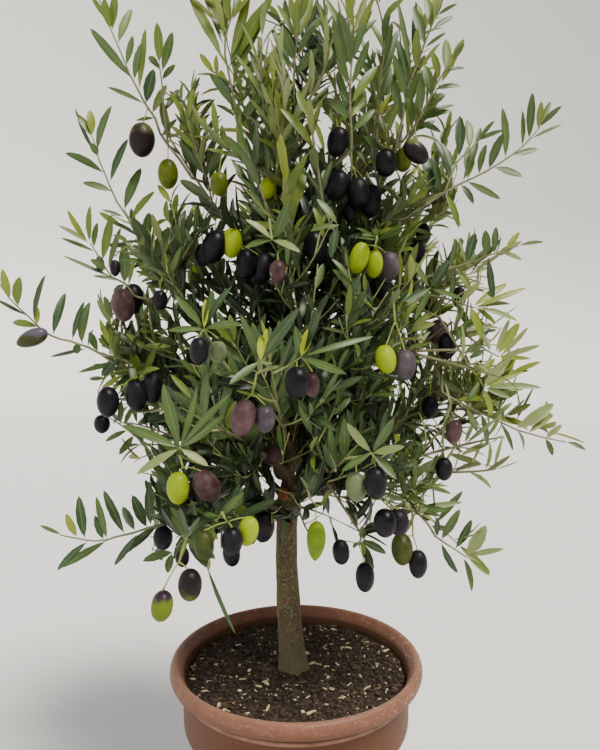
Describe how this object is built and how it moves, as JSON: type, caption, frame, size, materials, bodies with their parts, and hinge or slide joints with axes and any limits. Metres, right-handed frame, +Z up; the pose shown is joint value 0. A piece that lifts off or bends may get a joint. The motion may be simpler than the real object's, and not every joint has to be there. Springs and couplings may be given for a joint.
{
  "type": "potted indian olive",
  "caption": "Small olive tree in fruit, with a slim bowed trunk and an open crown of upright leafy branches, in a round clay-coloured pot with a rolled rim.",
  "frame": {"origin": "centre of the pot's flat underside, on the surface that the pot stands on", "axes": "+Z up, along the tree's height; the side seen in the picture faces -Y, and +X is to its right"},
  "size_m": [0.6785, 0.5729, 1.1653],
  "materials": {
    "pot_plastic": "satin moulded plastic",
    "potting_soil": "rough crumbly",
    "bark": "matte",
    "foliage": "satin"
  },
  "bodies": {
    "root": {"pot": "pot_plastic", "soil": "potting_soil", "trunk": "bark", "bough_low_left": "bark", "bough_low_front_left": "bark", "bough_low_front_right": "bark", "bough_low_right_front": "bark", "bough_low_right": "bark", "bough_low_back_right": "bark", "bough_low_back": "bark", "bough_low_back_left": "bark", "bough_left_back": "bark", "bough_left": "bark", "bough_front_left": "bark", "bough_front": "bark", "bough_front_right": "bark", "bough_right": "bark", "bough_right_back": "bark", "bough_back_right": "bark", "bough_back": "bark", "bough_back_left": "bark", "bough_upper_left": "bark", "bough_upper_front": "bark", "bough_upper_front_right": "bark", "bough_upper_right": "bark", "bough_upper_back_right": "bark", "bough_upper_back_left": "bark", "bough_upper_back": "bark", "foliage_low_left": "foliage", "foliage_low_front_left": "foliage", "foliage_low_front_right": "foliage", "foliage_low_right_front": "foliage", "foliage_low_right": "foliage", "foliage_low_back_right": "foliage", "foliage_low_back": "foliage", "foliage_low_back_left": "foliage", "foliage_left_back": "foliage", "foliage_left": "foliage", "foliage_front_left": "foliage", "foliage_front": "foliage", "foliage_front_right": "foliage", "foliage_right": "foliage", "foliage_right_back": "foliage", "foliage_back_right": "foliage", "foliage_back": "foliage", "foliage_back_left": "foliage", "foliage_upper_left": "foliage", "foliage_upper_front": "foliage", "foliage_upper_front_right": "foliage", "foliage_upper_right": "foliage", "foliage_upper_back_right": "foliage", "foliage_upper_back_left": "foliage", "foliage_upper_back": "foliage", "foliage_low_sprig": "foliage", "foliage_top_left": "foliage", "foliage_top_front_left": "foliage", "foliage_top_front_right": "foliage", "foliage_top_right": "foliage", "foliage_top_back": "foliage", "foliage_crown_tip": "foliage"}
  },
  "joints": []
}
